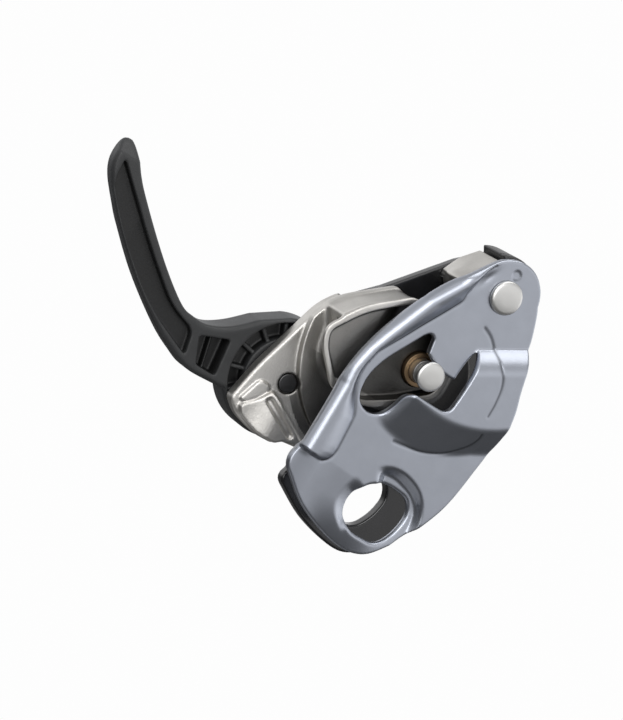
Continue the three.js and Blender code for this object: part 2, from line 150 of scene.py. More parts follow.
# ---- signed-distance solids -----------------------------------------------------------------
class Grid:
    """Points in millimetres, on which a solid's signed distance is worked out."""

    def __init__(self, low, high, step):
        self.low, self.step = np.array(low, float), step
        counts = np.ceil((np.array(high, float) - self.low) / step).astype(int) + 1
        axes = [self.low[i] + step * np.arange(counts[i]) for i in range(3)]
        self.x = axes[0][:, None, None]
        self.y = axes[1][None, :, None]
        self.z = axes[2][None, None, :]

    def outline(self, points):
        """Signed distance in the XZ plane to a closed outline, negative inside."""
        x, z = np.broadcast_arrays(self.x[:, 0, :], self.z[0, :, :])
        nearest, side = np.full(x.shape, FAR), np.ones(x.shape)
        for (ax, az), (bx, bz) in zip(points, points[1:] + points[:1]):
            ex, ez = bx - ax, bz - az
            if ex * ex + ez * ez < TINY:
                continue
            wx, wz = x - ax, z - az
            t = np.clip((wx * ex + wz * ez) / (ex * ex + ez * ez), 0, 1)
            nearest = np.minimum(nearest, (wx - t * ex) ** 2 + (wz - t * ez) ** 2)
            above, below, left = z >= az, z < bz, ex * wz > ez * wx
            side[(above & below & left) | (~above & ~below & ~left)] *= -1
        return (side * np.sqrt(nearest))[:, None, :]

    def disc(self, centre, radius):
        """Signed distance in the XZ plane to a circle, negative inside."""
        return np.hypot(self.x - centre[0], self.z - centre[1]) - radius

    def line(self, points):
        return line_distance(self.x, self.z, points)


def soft_min(a, b, k):
    """The smaller of two, blended where they differ by less than k."""
    h = np.clip(0.5 + 0.5 * (b - a) / k, 0, 1)
    return b + (a - b) * h - k * h * (1 - h)


def soft_max(a, b, k):
    """The larger of two, blended where they differ by less than k."""
    return -soft_min(-a, -b, k)


def prism(flat, depth, edge):
    """A slab from an in-plane distance and a through-thickness distance, with edges of that radius."""
    a, b = flat + edge, depth + edge
    return np.minimum(np.maximum(a, b), 0) + np.hypot(np.maximum(a, 0), np.maximum(b, 0)) - edge


def between(y, front, back):
    """Signed distance along Y to a slab, negative inside."""
    return np.abs(y - (front + back) / 2) - (back - front) / 2


def ease(start, end, value):
    """0 up to the start and 1 from the end, with a smooth step from one to the other."""
    t = np.clip((value - start) / (end - start), 0, 1)
    return t * t * (3 - 2 * t)


def ramp(value, width, soft):
    """0 to 1 over a straight slope of that width, with its two bends softened."""
    k = soft / width
    return soft_min(soft_max(value / width, 0, k), 1, k)


def sampled(values, at):
    """Values between grid points, at places in grid steps."""
    base = np.minimum(at.astype(int), np.array(values.shape) - 2)
    t = at - base
    total = 0
    for i in (0, 1):
        for j in (0, 1):
            for k in (0, 1):
                weight = (np.abs(1 - i - t[:, 0]) * np.abs(1 - j - t[:, 1]) * np.abs(1 - k - t[:, 2]))
                total = total + weight * values[base[:, 0] + i, base[:, 1] + j, base[:, 2] + k]
    return total


def skin(grid, values):
    """Vertices, quads and normals of the surface where values are zero.

    Each grid cell that the surface passes through gets one vertex, the mean of the places where the
    surface crosses the cell's edges. Vertices then move along the slope onto the surface.
    """
    passes, longest_move = 2, 0.4
    shape = np.array(values.shape)
    inside = values < 0
    cells = tuple(shape - 1)
    total, place = np.zeros(cells), [np.zeros(cells) for _ in range(3)]
    for axis in range(3):
        low, high = [slice(None)] * 3, [slice(None)] * 3
        low[axis], high[axis] = slice(None, -1), slice(1, None)
        a, b = values[tuple(low)], values[tuple(high)]
        cross = inside[tuple(low)] != inside[tuple(high)]
        t = np.where(cross, a / np.where(cross, a - b, 1), 0)
        u, v = (axis + 1) % 3, (axis + 2) % 3
        for du in (0, 1):
            for dv in (0, 1):
                cut = [slice(None)] * 3
                cut[u], cut[v] = slice(du, shape[u] - 1 + du), slice(dv, shape[v] - 1 + dv)
                crossed = cross[tuple(cut)]
                total += crossed
                place[axis] += t[tuple(cut)]
                place[u] += du * crossed
                place[v] += dv * crossed
    used = total > 0
    index = np.full(cells, -1)
    index[used] = np.arange(used.sum())
    at = np.argwhere(used) + np.stack([p[used] / total[used] for p in place], 1)
    quads, step = [], np.eye(3, dtype=int)
    for axis in range(3):
        u, v = (axis + 1) % 3, (axis + 2) % 3
        low, high = [slice(None)] * 3, [slice(None)] * 3
        low[axis], high[axis] = slice(None, -1), slice(1, None)
        lower = inside[tuple(low)]
        where = np.argwhere(lower != inside[tuple(high)])
        where = where[(where[:, u] > 0) & (where[:, v] > 0)
                      & (where[:, u] < shape[u] - 1) & (where[:, v] < shape[v] - 1)]
        corners = [index[tuple((where - i * step[u] - j * step[v]).T)]
                   for i, j in ((0, 0), (1, 0), (1, 1), (0, 1))]
        quad = np.stack(corners, 1)
        outward = lower[tuple(where.T)]
        quads.append(np.where(outward[:, None], quad, quad[:, ::-1]))
    slopes = np.gradient(values)
    for _ in range(passes):
        normals = np.stack([sampled(s, at) for s in slopes], 1)
        size = np.sum(normals ** 2, 1, keepdims=True) + TINY
        shift = sampled(values, at)[:, None] * normals / size
        at = at - np.clip(shift, -longest_move, longest_move)
    normals = np.stack([sampled(s, at) for s in slopes], 1)
    normals /= np.linalg.norm(normals, axis=1, keepdims=True) + TINY
    return grid.low + grid.step * at, np.vstack(quads), normals


def show(name, mesh, material, body, nodes):
    """Puts a finished mesh in the scene in place of its CAD nodes."""
    obj = bpy.data.objects.new(name, mesh)
    bpy.context.scene.collection.objects.link(obj)
    mesh.materials.append(material)
    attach(obj, body)
    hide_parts(*nodes)
    return obj


def solid(name, grid, values, material, body, nodes, shade=None):
    """A meshed solid. shade(x, y, z), in millimetres, multiplies its material's colour with painted
    shade and light.
    """
    points, quads, normals = skin(grid, np.broadcast_to(values, np.broadcast_shapes(
        grid.x.shape, grid.y.shape, grid.z.shape)))
    mesh = bpy.data.meshes.new(name)
    mesh.vertices.add(len(points))
    mesh.vertices.foreach_set("co", (points * MM).astype(np.float32).ravel())
    mesh.loops.add(quads.size)
    mesh.loops.foreach_set("vertex_index", quads.astype(np.int32).ravel())
    mesh.polygons.add(len(quads))
    mesh.polygons.foreach_set("loop_start", np.arange(0, quads.size, 4, dtype=np.int32))
    mesh.update(calc_edges=True)
    mesh.shade_smooth()
    mesh.normals_split_custom_set_from_vertices(normals.tolist())
    # Painted shade and light, one value per vertex.
    painted_tone = shade(*points.T) if shade else np.ones(len(points))
    layer = mesh.attributes.new("shade", "FLOAT", "POINT")
    layer.data.foreach_set("value", np.asarray(painted_tone, np.float32))
    return show(name, mesh, material, body, nodes)


SHARP_ANGLE = math.radians(35)


def turned(name, centre, profile, material, body, nodes, sides=96):
    """A piece revolved about an axis parallel to Y from (radius, y, corner radius) points.

    A profile that starts at radius 0 is a solid pin, and any other is closed round as a ring.
    """
    line = rounded(profile, 6)
    hollow = profile[0][0] > 0
    rows = len(line)
    points, faces = [], []
    for side in range(sides):
        a = 2 * math.pi * side / sides
        points += [(centre[0] + r * math.cos(a), y, centre[1] + r * math.sin(a)) for r, y in line]
    for side in range(sides):
        here, there = side * rows, (side + 1) % sides * rows
        for i in range(rows if hollow else rows - 1):
            j = (i + 1) % rows
            faces.append((here + i, here + j, there + j, there + i))
    mesh = bpy.data.meshes.new(name)
    mesh.from_pydata([tuple(MM * c for c in q) for q in points], [], faces)
    if not hollow:
        built = bmesh.new()
        built.from_mesh(mesh)
        bmesh.ops.remove_doubles(built, verts=built.verts, dist=1e-7)
        bmesh.ops.recalc_face_normals(built, faces=built.faces)
        built.to_mesh(mesh)
        built.free()
    mesh.shade_smooth()
    mesh.set_sharp_from_angle(angle=SHARP_ANGLE)
    return show(name, mesh, material, body, nodes)


# ---- materials ------------------------------------------------------------------------------
COAT_ROUGHNESS = 0.12
NOISE_RANGE = 0.3, 0.7


def finish(name, colour, rough, metallic, grain, grain_depth, vary=0.08, rough_vary=0.08, coat=0.0,
           streak=None, mottle=250, detail=4, with_painted_shade=False):
    """A finish with grain and wear from noise in the piece's own coordinates.

    Grain and mottle are noise scales, in waves a metre, and the grain's depth is in metres. A finish
    with painted shade has its colour multiplied by the mesh's shade attribute, which holds painted
    shade and light.
    """
    material = bpy.data.materials.new(name)
    material.use_nodes = True
    nodes, links = material.node_tree.nodes, material.node_tree.links
    shader = nodes["Principled BSDF"]
    shader.inputs["Metallic"].default_value = metallic
    shader.inputs["Coat Weight"].default_value = coat
    if coat:
        shader.inputs["Coat Roughness"].default_value = COAT_ROUGHNESS
    where = nodes.new("ShaderNodeTexCoord").outputs["Object"]
    if streak:
        stretch = nodes.new("ShaderNodeMapping")
        stretch.inputs["Scale"].default_value = streak
        links.new(where, stretch.inputs["Vector"])
        fine_at = stretch.outputs["Vector"]
    else:
        fine_at = where

    def noise(scale, octaves, at):
        node = nodes.new("ShaderNodeTexNoise")
        node.inputs["Scale"].default_value = scale
        node.inputs["Detail"].default_value = octaves
        links.new(at, node.inputs["Vector"])
        return node.outputs["Fac"]

    fine, broad = noise(grain, detail, fine_at), noise(mottle, 5, where)
    tint = nodes.new("ShaderNodeValToRGB")
    dark, light = tint.color_ramp.elements
    dark.position, light.position = NOISE_RANGE
    dark.color = (*[c * (1 - vary) for c in colour], 1)
    light.color = (*[min(1, c * (1 + vary)) for c in colour], 1)
    links.new(broad, tint.inputs["Fac"])
    colour_out = tint.outputs["Color"]
    if with_painted_shade:
        # The shade attribute scales the colour with painted shade and light.
        painted_tone = nodes.new("ShaderNodeAttribute")
        painted_tone.attribute_name = "shade"
        apply_painted_tone = nodes.new("ShaderNodeVectorMath")
        apply_painted_tone.operation = "SCALE"
        links.new(colour_out, apply_painted_tone.inputs[0])
        links.new(painted_tone.outputs["Fac"], apply_painted_tone.inputs["Scale"])
        colour_out = apply_painted_tone.outputs["Vector"]
    links.new(colour_out, shader.inputs["Base Color"])
    spread = nodes.new("ShaderNodeMapRange")
    spread.inputs["From Min"].default_value, spread.inputs["From Max"].default_value = NOISE_RANGE
    spread.inputs["To Min"].default_value = rough * (1 - rough_vary)
    spread.inputs["To Max"].default_value = rough * (1 + rough_vary)
    links.new(fine, spread.inputs["Value"])
    links.new(spread.outputs["Result"], shader.inputs["Roughness"])
    bump = nodes.new("ShaderNodeBump")
    bump.inputs["Strength"].default_value = 1.0
    bump.inputs["Distance"].default_value = grain_depth
    links.new(fine, bump.inputs["Height"])
    links.new(bump.outputs["Normal"], shader.inputs["Normal"])
    return material


anodised = finish("anodised_plate", (0.44, 0.465, 0.52), 0.33, 1.0, 5200, 0.000012, vary=0.03,
                  with_painted_shade=True)
black_paint = finish("black_plate", (0.012, 0.012, 0.013), 0.22, 0.0, 2600, 0.00001, coat=0.6, vary=0.15)
cast_steel = finish("cast_steel", (0.68, 0.663, 0.63), 0.42, 1.0, 2600, 0.00005, vary=0.07,
                    rough_vary=0.15, with_painted_shade=True)
pin_steel = finish("pin_steel", (0.70, 0.695, 0.675), 0.38, 1.0, 4200, 0.00001, vary=0.03)
spring_steel = finish("spring_steel", (0.50, 0.50, 0.51), 0.25, 1.0, 6000, 0.000005)
bronze = finish("bronze", (0.30, 0.205, 0.12), 0.45, 1.0, 5000, 0.00001, vary=0.12)
black_steel = finish("black_steel", (0.10, 0.10, 0.102), 0.36, 1.0, 4200, 0.00001, vary=0.05)
nylon = finish("nylon", (0.030, 0.031, 0.032), 0.48, 0.0, 3400, 0.00004, vary=0.10, rough_vary=0.12,
               with_painted_shade=True)
cap_nylon = finish("cap_nylon", (0.020, 0.020, 0.021), 0.36, 0.0, 900, 0.00003, vary=0.12,
                   streak=(1.0, 6.0, 1.0))

# ---- moving side plate ----------------------------------------------------------------------
# The window's outline: single points, and curves of three points each.
WINDOW_PARTS = [
    [(-16.9, 20.85), (-21.5, 21.4), (-21.5, 27.2)],
    [(-21.5, 27.2), (-21.4, 31), (-18.6, 35.6)],
    [(-14.6, 42)],
    [(-14.6, 42), (-12.6, 45.6), (-11, 43.6)],
    [(-10.3, 39.9)],
    [(-10.3, 39.9), (-4.5, 36.9), (-0.5, 37.6)],
    [(-0.5, 37.6), (-0.4, 43), (0.9, 46.4)],
    [(0.9, 46.4), (2, 41), (0.9, 31.6)],
    [(0.9, 31.6), (0.4, 29.6), (-2, 29.7)],
    [(-9, 30)],
    [(-9, 30), (-11.4, 29.8), (-11.6, 27.2)],
    [(-11.6, 27.2), (-12, 22.4), (-14.4, 21.25)],
    [(-14.4, 21.25), (-15.6, 20.7), (-16.9, 20.85)],
]
WINDOW = [point for part in WINDOW_PARTS for point in (quadratic(*part) if len(part) == 3 else part)]
PLATE_END = [polar(PIVOT, END_RADIUS + 0.4 * (1 - ease(60, 125, a)), a)
             for a in np.linspace(129.6, 12.6, 30)]
PLATE = (PLATE_END + spline([PLATE_END[-1]] + RIGHT_EDGE)
         + spline([RIGHT_EDGE[-1], (3.5, -9.8), (-2, -11.3), (-9.4, -10), (-19.4, -6.1), (-27.5, -0.2)])
         + quadratic((-27.5, -0.2), (-29.6, 2), (-28.4, 5.6)) + spline(LEFT_EDGE))
# Where the lip meets the flat field, from its lower end upwards.
CREASE = [(-23.9, 5.5), (-22.4, 5.1), (-20.9, 5.5), (-19.6, 6.5), (-18.9, 7.9), (-18.7, 9.6),
          (-18.9, 13.2), (-19.2, 17.4), (-19.9, 19.4), (-21.8, 22.6), (-23.1, 25.4), (-23.6, 28),
          (-23.5, 30.6), (-22.4, 34.8), (-18.9, 40.2), (-15.8, 45.2), (-13.4, 48.9), (-11.3, 52.2),
          (-9.7, 55), (-10.3, 57.2), (-10.2, 60.4), (-8.6, 63.4), (-6.6, 66.2)]
LIP_FOOT = CREASE[2:19] + [(-9.2, 58), (-8.6, 61), (-7.8, 64), (-6.6, 66.2)]
# The lip's crest is this far in from the edge, and its lower end is at this height.
LIP_RIDGE, LIP_HEIGHT, LIP_END = 2.5, 3, 5.6
# The band's top is a slanting line, and its foot an arc round the pivot.
BAND_HEIGHT, BAND_TOP, BAND_TOP_SLANT, BAND_TOP_FALL = 3.7, 46.4, 0.49, 6.6
BAND_FOOT_RADIUS, BAND_FOOT_WIDTH, BAND_FOOT_TAPER = 32.4, 10.2, 0.24
DISH_CENTRE, DISH_DEPTH, DISH_RADIUS, DISH_WALL = (-0.6, 0.3), 2.1, 9.5, 2.3
# Below the attachment hole the plate leans back, and its lower left is tucked in further.
LEAN_BACK, TUCK_DEPTH = 0.05, 1.3
DIMPLE = (-0.4, 66.7)


def edge_at(z, points):
    """X of a line that climbs in Z, at that height."""
    return np.interp(z, [p[1] for p in points], [p[0] for p in points])


def band_height(x, z):
    """The raised band: steep at its slanting top, and a long slope round the pivot at its bottom."""
    from_pivot = np.hypot(x - PIVOT[0], z - PIVOT[1])
    fall = np.clip(BAND_TOP + BAND_TOP_SLANT * x - z, 0, BAND_TOP_FALL)
    top = 1 - (1 - fall / BAND_TOP_FALL) ** 2
    foot_width = BAND_FOOT_WIDTH - BAND_FOOT_TAPER * np.clip(x, 0, 14)
    bottom = 1 - ramp(from_pivot - BAND_FOOT_RADIUS, foot_width, 0.8)
    side = np.where(z > 34, ease(0.1, 0.9, x), ease(-15, -9.4, x))
    return BAND_HEIGHT * top * bottom * side


def lip_height(x, z, step):
    """The rolled lip along the left edge, with its lower end a step of that width."""
    edge = edge_at(z, LEFT_EDGE)
    width = np.maximum(edge_at(z, LIP_FOOT) - edge, 1.0)
    ridge = np.minimum(LIP_RIDGE, 0.45 * width)
    inward = x - edge
    rise = 1 - np.clip((inward - ridge) / (width - ridge), 0, 1) ** 1.5
    fall_back = np.clip(ridge - inward, 0, 4)
    rolled = LIP_HEIGHT - 0.2 * fall_back ** 2 - 0.16 * np.clip(fall_back - 1.7, 0, 3) ** 2
    lip = np.where(inward < ridge, rolled, LIP_HEIGHT * rise)
    end = LIP_END + 0.12 * np.clip(-22.6 - x, 0, 8)
    ear = 0.2 * np.clip((z + 7) / (end + 7), 0, 1)
    return lip * (ear + (1 - ear) * ease(end - 0.3 * step, end + 0.7 * step, z)) * (1 - ease(60, 68, z))


def dish_depth(x, z):
    """The dish round the attachment hole, deep at its right, half as deep at its left, and open above
    and below."""
    across, up = x - DISH_CENTRE[0], z - DISH_CENTRE[1]
    angle = np.degrees(np.arctan2(up, across)) % 360
    turn = np.where(angle < 180, angle + 360, angle)
    past_left = ease(126, 140, angle) * (1 - ease(250, 280, angle))
    right_side = ease(262, 400, turn) * (1 - ease(458, 484, turn))
    walled = right_side + 0.5 * ease(146, 168, angle) * (1 - ease(212, 240, angle))
    from_side = ease(250, 280, turn) * (1 - ease(390, 435, turn))
    inner = DISH_RADIUS + 1.4 * from_side - 0.9 * past_left
    width = DISH_WALL - 0.9 * from_side + 0.5 * past_left - 2 * past_left * ease(185, 228, angle)
    return walled * (1 - ramp(np.hypot(across, up) - inner, width, 0.5))


def plate_raise(x, z, step):
    """How far the plate stands out of its flat field. The lip ends in a step of that width."""
    below = np.clip(4.4 - z - 0.1 * x, 0, 18)
    tuck = np.clip((below - 6.5) / 10, 0, 1.1) ** 2 * ease(-19, -9, x) * (1 - ease(-5, 9, x))
    return (band_height(x, z) + lip_height(x, z, step) - DISH_DEPTH * dish_depth(x, z)
            - LEAN_BACK * below * ease(-24, -14, x) - TUCK_DEPTH * tuck)


def lip_shadow(x, z):
    """1 in the hollow beside the upper end of the lip, fading to 0 around it."""
    dx, dz = x + 7.1, z - 62.4
    along, across = 0.488 * dx + 0.873 * dz, 0.873 * dx - 0.488 * dz
    return np.exp(-(along / 2.8) ** 2 - (across / 0.9) ** 2)


# The crease and two lines round the rope's path.
ENGRAVED = [spline(CREASE[2:]),
            spline([(-0.6, 52), (2.8, 50.3), (7.2, 45.8), (9.6, 42), (10.5, 37.6), (10.6, 34)]),
            spline([(12, 29.4), (12.2, 27.6), (11, 24.8), (7, 20.9), (1.9, 18.7), (-3.3, 17.9),
                    (-6.6, 17.6)])]
ENGRAVING_WIDTH, ENGRAVING_DEPTH = 0.32, 0.14
DIMPLE_DEPTH, HOLLOW_DEPTH = 0.2, 0.4


def engraved(x, z):
    """1 on the plate's engraved lines, fading to 0 beside them."""
    return np.max([np.exp(-(line_distance(x, z, line) / ENGRAVING_WIDTH) ** 2) for line in ENGRAVED],
                  axis=0)


def marks(x, z):
    """Depth of the marks in the plate's front, which don't show at its back."""
    dimple = 1 - ease(0.95, 1.4, np.hypot(x - DIMPLE[0], z - DIMPLE[1]))
    return ENGRAVING_DEPTH * engraved(x, z) + DIMPLE_DEPTH * dimple + HOLLOW_DEPTH * lip_shadow(x, z)


def plate_painted_shade(x, z):
    """Painted shade: darker in the engraved grooves, in the hollow by the lip, at its foot and on one
    side of the dimple.
    """
    dx, dz = x - DIMPLE[0], z - DIMPLE[1]
    from_dimple = np.hypot(dx, dz)
    lower_right = (0.9 * dx - 0.44 * dz) / (from_dimple + 0.01)
    dimple_shadow = np.exp(-((from_dimple - 1.2) / 0.3) ** 2) * ease(-0.1, 0.6, lower_right)
    lip_end_shadow = np.exp(-((x + 26.4) / 1.7) ** 2 - ((z - 5.2) / 0.7) ** 2)
    # Painted shadow in the grooves, on the dimple's wall, under the lip's end and in the hollow by the
    # lip.
    return ((1 - 0.62 * engraved(x, z)) * (1 - 0.55 * dimple_shadow) * (1 - 0.55 * lip_end_shadow)
            * (1 - 0.45 * lip_shadow(x, z)))


def leaning(height, step):
    """Shrinks a distance along Y to the distance from a surface of that height."""
    slope_x, slope_z = np.gradient(height[:, 0, :], step)
    return 1 / np.sqrt(1 + slope_x ** 2 + slope_z ** 2)[:, None, :]


FRONT_STEP, BACK_STEP = 0.35, 2.4
grid = Grid((-29.6, -14.5, -12.1), (19.2, -4.6, 71), 0.3)
front_height = plate_raise(grid.x, grid.z, FRONT_STEP) - marks(grid.x, grid.z)
back_height = plate_raise(grid.x, grid.z, BACK_STEP)
flat = grid.outline(PLATE)
hole = grid.outline(rounded(HOLE))
for opening in (hole, grid.outline(WINDOW), grid.disc(PIVOT, PIN_RADIUS + 0.08)):
    flat = np.maximum(flat, -opening)
before_front = (PLATE_FRONT - front_height - grid.y) * leaning(front_height, grid.step)
past_back = (grid.y - PLATE_FRONT - PLATE_THICK + back_height) * leaning(back_height, grid.step)
through = np.maximum(before_front, past_back)
edge_round = 0.4 + 0.4 * (1 - ease(0.5, 2.5, hole))
solid("moving_plate_skin", grid, prism(flat, through, edge_round), anodised, "swing_plate",
      ["moving_plate"], shade=lambda x, y, z: plate_painted_shade(x, z))

# ---- fixed side plate -----------------------------------------------------------------------
# Seen from the axle, the direction of the edge that the arm stops on.
STOP_ANGLE = 247.8
FIXED = ([(-22, 48.3), (-8.2, 62.8), polar(PIVOT, 6.6, 130), polar(PIVOT, 7.2, 112), polar(PIVOT, 8, 92)]
         + arc(PIVOT, END_RADIUS - 0.9, 80, 12.6, 24)
         + spline([polar(PIVOT, END_RADIUS - 0.9, 12.6)] + [(x - 0.4, z) for x, z in RIGHT_EDGE[:-2]]
                  + [(16, 2), (14, -6), (9.4, -11.4), (3, -13.6), (-8.5, -11), (-18.2, -5.9)])
         + quadratic((-18.2, -5.9), (-20.8, -4.4), (-19.4, -1.8)) + [polar(AXLE, 30, STOP_ANGLE)]
         + arc(AXLE, 23.5, STOP_ANGLE, 165.6, 40))
SHOE_RIVETS = [(-6.6, 61.6), (-9.6, 58.6)]
CAP_RIVET = polar(PIVOT, 6.9, 35)
COUNTERSINK_DEPTH = 1.5
# Each countersunk hole's centre, with the radii of its shaft and of its wide end.
COUNTERSUNK = [(PIVOT, 3.2, 4.6), (AXLE, 3.2, 4.6)] + [(c, 1.1, 1.55) for c in [*SHOE_RIVETS, CAP_RIVET]]
grid = Grid((-31.4, 4.1, -14.4), (19, 8.2, 70.6), 0.3)
flat = np.maximum(grid.outline(FIXED), -grid.outline(rounded(HOLE)))
fixed = prism(flat, between(grid.y, FIXED_FRONT, FIXED_BACK), 0.4)
for centre, shaft, head in COUNTERSUNK:
    below_face = np.maximum(FIXED_BACK - grid.y, 0)
    cone = grid.disc(centre, head) + below_face * (head - shaft) / COUNTERSINK_DEPTH
    fixed = np.maximum(fixed, -np.minimum(cone, grid.disc(centre, shaft)))
solid("fixed_plate_skin", grid, fixed, black_paint, "frame", ["fixed_plate"])

# ---- friction shoe and end cap --------------------------------------------------------------
SHOE = rounded([(-12.2, 60.3, 1.6), (-4.6, 67.9, 0.4), (-3.3, 66.2, 0.4), (-5.4, 60.8, 1),
                (-4.6, 56, 0.6), (-9, 55.8, 2), (-13, 58.9, 0.6)])
SHOE_CROWN = 1.6
grid = Grid((-14.2, -8.3, 54.6), (-2.2, 4.9, 69), 0.25)
middle = (CORE_FRONT + CORE_BACK) / 2
hollow = 0.5 * ((grid.y - middle) / 6) ** 2
crown = (SHOE_CROWN * ease(-3.5, 4.3, grid.y) + hollow) * ease(8, 12.5, -grid.x)
shoe = prism(grid.outline(SHOE) + crown, between(grid.y, CORE_FRONT, CORE_BACK), 0.5)
solid("shoe_skin", grid, shoe, cast_steel, "frame", ["friction_shoe"])

CAP = arc(PIVOT, CAP_RADIUS - 0.15, 119, -45, 60) + arc(PIVOT, 5.2, -45, 115, 40)
SEAM_Y, SEAM_RADIUS = -5.6, 0.3
grid = Grid((-5.4, -8.3, 53.4), (10.2, 4.9, 71), 0.25)
cap = prism(grid.outline(CAP), between(grid.y, CORE_FRONT, CORE_BACK), 0.7)
seam = np.hypot(grid.disc(PIVOT, CAP_RADIUS), grid.y - SEAM_Y) - SEAM_RADIUS
solid("cap_skin", grid, soft_max(cap, -seam, 0.15), cap_nylon, "frame", ["end_spacer"])

# ---- rope cam with its arm ------------------------------------------------------------------
# From front to back: the rope flange, the core between the plates, and the arm beside the fixed plate,
# with a rope guide and a pad raised on the arm's front.
FLANGE = rounded([(-36.8, 33.6, 2.4), (-30.4, 42.3, 4), (-19.6, 50.2, 2.4), (-9, 46.5, 4), (-1.2, 40, 3),
                  (-0.6, 31.6, 3), (-9, 25.6, 4), (-19, 20.4, 4), (-27.6, 21.6, 1.5), (-35, 29, 2.4)])
CORE = rounded([(-33.8, 38, 0.6), (-30.2, 42.2, 3), (-19.4, 49.8, 2), (-12, 47.8, 3), (0.6, 45.4, 5),
                (5.8, 38, 4), (4.8, 29, 5), (-5, 23.2, 5), (-22, 21.2, 4), (-29.6, 26.6, 4),
                (-31.4, 34, 1)])
ARM = rounded([(-43.2, 7.2, 1.2), (-41.2, 16.9, 4), (-38.3, 25.4, 4), (-34.6, 36.9, 3), (-30.6, 42, 3),
               (-19.6, 50, 1), (-12, 40, 1), (*polar(AXLE, 20, STOP_ANGLE - 1.2), 0.2),
               (*polar(AXLE, 34.2, STOP_ANGLE - 1.2), 0.2), (-26, 3.6, 0.6), (-27.4, 2.2, 0.6),
               (-33.2, 2.2, 4), (-39.8, 4.2, 3)])
GUIDE = rounded([(-40.4, 7, 0.8), (-36.7, 10.4, 3), (-34.9, 13.4, 1.2), (-32.6, 12.7, 1.2),
                 (-21.5, 5.9, 0.3), (-21.3, 4.4, 0.3), (-26, 4, 0.6), (-28, 2.6, 0.6), (-33.2, 2.6, 4),
                 (-39, 4.8, 1)])
PAD = rounded([(-41.3, 8.2, 0.7), (-38.9, 14.6, 1.4), (-35.6, 14.4, 1.6), (-35.2, 12.4, 1),
               (-37.4, 9.8, 1.5), (-39.8, 7.6, 0.8)])
TROUGH = [(-34.2, 11.0), (-25.4, 6.0)]
FLANGE_BACK, GUIDE_BACK, PAD_FRONT = -6.5, 5.5, 3.45
RIM_WIDTH = 1.45
# The arm's web clears the fixed plate outside the first radius, and its root joins the core inside the
# second.
WEB_INNER, ROOT_OUTER, ROOT_FRONT = 24.3, 28.5, 2.6
TROUGH_RADIUS = 0.8
BORE_RADIUS, SPRING_RADIUS, SPRING_BORE, SPRING_FRONT = 4.35, 8.6, 5.3, -2.2
HEAD_SEAT_RADIUS, HEAD_SEAT_BACK = 2.7, 5.45
grid = Grid((-45.8, -8.3, 1.4), (6.4, 8.4, 51), 0.32)
flange = prism(grid.outline(FLANGE), between(grid.y, CORE_FRONT, FLANGE_BACK), 0.35)
core = prism(grid.outline(CORE), between(grid.y, CORE_FRONT + 0.4, CORE_BACK), 0.5)
cam = soft_min(flange, core, 1.4)
floor_depth = 0.6 + 3.4 * ease(-25, -20, grid.x)
recess = prism(grid.outline(FLANGE) + RIM_WIDTH, grid.y - CORE_FRONT - floor_depth, 0.3)
cam = soft_max(cam, -recess, 0.2)
arm_flat = grid.outline(ARM)
web_flat = np.maximum(arm_flat, -grid.disc(AXLE, WEB_INNER))
web = prism(web_flat, between(grid.y, CORE_BACK - 0.2, ARM_BACK), 0.75)
root_flat = np.maximum(arm_flat, grid.disc(AXLE, ROOT_OUTER))
root = prism(root_flat, between(grid.y, ROOT_FRONT, CORE_BACK + 0.4), 0.3)
guide_face = 1.7 + 1.3 * ease(-30, -38.5, grid.x)
guide = prism(grid.outline(GUIDE), np.maximum(guide_face - grid.y, grid.y - GUIDE_BACK), 0.5)
trough = np.hypot(grid.line(TROUGH) * 0.85, grid.y - guide_face) - TROUGH_RADIUS
guide = soft_max(guide, -trough, 0.4)
pad = prism(grid.outline(PAD), between(grid.y, PAD_FRONT, GUIDE_BACK), 0.6)
arm = soft_min(soft_min(soft_min(web, root, 0.6), guide, 0.9), pad, 0.3)
cam = soft_min(cam, arm, 1.6)
cam = np.maximum(cam, -grid.disc(AXLE, BORE_RADIUS))
seat = np.maximum(grid.disc(AXLE, SPRING_RADIUS), -grid.disc(AXLE, SPRING_BORE))
seat = np.maximum(seat, SPRING_FRONT - grid.y)
head_seat = np.maximum(grid.disc(LEVER_PIN, HEAD_SEAT_RADIUS), grid.y - HEAD_SEAT_BACK)
pin_bore = grid.disc(LEVER_PIN, LEVER_PIN_RADIUS + 0.05)
cam = np.maximum(cam, -np.minimum(np.minimum(seat, head_seat), pin_bore))
cam = np.maximum(cam, between(grid.y, CORE_FRONT, ARM_BACK))


def cam_painted_shade(x, y, z):
    """Painted shade: darker between the plates and in the flange's recess, where little light reaches.
    """
    edge = edge_at(z, LEFT_EDGE)
    behind_plate = x > edge + 3.5
    behind_face = y > CORE_FRONT + 0.3
    upper_part = z > 24
    # Painted shade, deepening from the plate's edge inwards.
    upper = 0.26 + 0.74 * ease(-2.5, 10, edge + 2.5 - x)
    # Painted shade on the arm near the axle, deepening towards the plate.
    lower = 0.32 + 0.68 * ease(27, 33.5, -x)
    side = behind_face & (y < 2) | behind_plate
    painted_tone = np.where(side & upper_part | (y < 1) & behind_plate, upper, 1)
    recess = behind_face & (y < -3) & upper_part & (line_distance(x, z, FLANGE + FLANGE[:1]) > 1.2)
    # Deeper painted shade in the flange's recess.
    painted_tone = np.where(recess, 0.42 * painted_tone + 0.02, painted_tone)
    near_axle = np.hypot(x - AXLE[0], z - AXLE[1]) < 31
    return np.where(near_axle & (y > 0) & (z < 27) & (x > -35), lower, painted_tone)


solid("cam_skin", grid, cam, cast_steel, "rope_cam", ["cam"], shade=cam_painted_shade)

